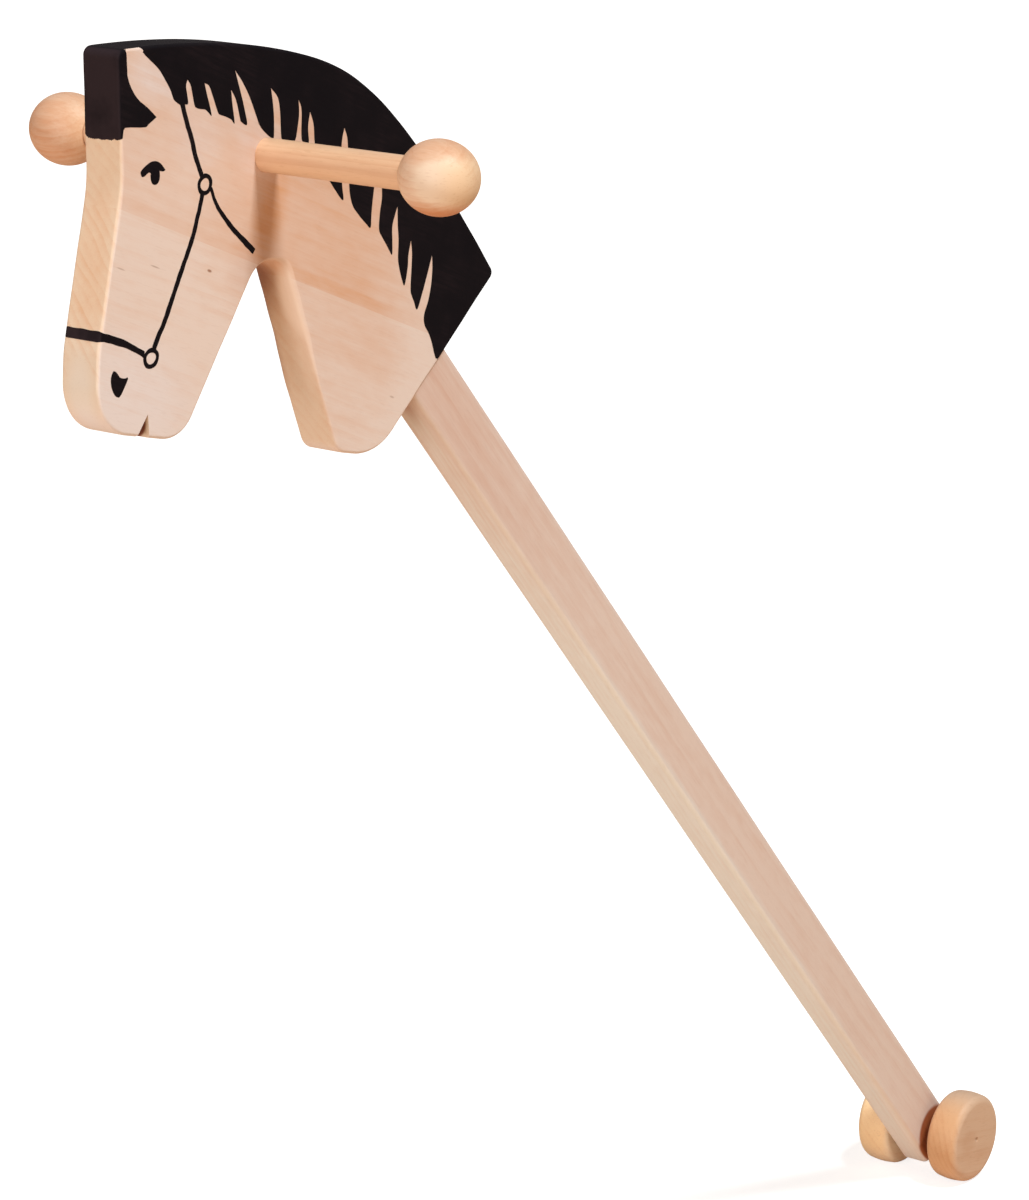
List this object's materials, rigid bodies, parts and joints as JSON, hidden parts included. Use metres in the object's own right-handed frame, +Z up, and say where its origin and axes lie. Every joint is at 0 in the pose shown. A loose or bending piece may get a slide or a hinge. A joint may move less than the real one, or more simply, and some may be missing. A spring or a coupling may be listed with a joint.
{
  "type": "hobby horse",
  "caption": "Wooden hobby horse: a sawn and painted board head with a through handle and turned knobs, pegged to a rounded bar that rolls on a pair of small wheels.",
  "frame": {"origin": "bottom centre of the overall box: on the floor under the wheels, midway between muzzle and wheels", "axes": "Z up; the horse faces -X and rolls along X; the handle and the wheel axle lie along Y; the horse's left side faces -Y"},
  "size_m": [0.7776, 0.262, 0.7785],
  "materials": {
    "head_wood": "sanded pale board, matt, with black painted mane, bridle and face",
    "stick_wood": "sanded, thin clear lacquer",
    "joint_dowel_wood": "plain beech dowel, raw",
    "handle_wood": "sanded dowel, satin lacquer",
    "knob_wood": "turned, satin lacquer",
    "axle_wood": "plain dowel, raw",
    "wheel_wood": "turned, satin lacquer",
    "black_paint": "thin matt black paint, brushed on the head board"
  },
  "bodies": {
    "horse": {"head_board": "head_wood", "stick": "stick_wood", "joint_dowel_lower": "joint_dowel_wood", "joint_dowel_upper": "joint_dowel_wood", "handle_dowel": "handle_wood", "knob_left": "knob_wood", "knob_right": "knob_wood"},
    "wheel_set": {"axle_dowel": "axle_wood", "wheel_left": "wheel_wood", "wheel_right": "wheel_wood"}
  },
  "joints": [
    {"name": "wheel_spin", "type": "hinge", "parent": "horse", "child": "wheel_set", "pos_m": [0.36125, 0, 0.0275], "axis": [0, 1, 0], "continuous": true}
  ]
}
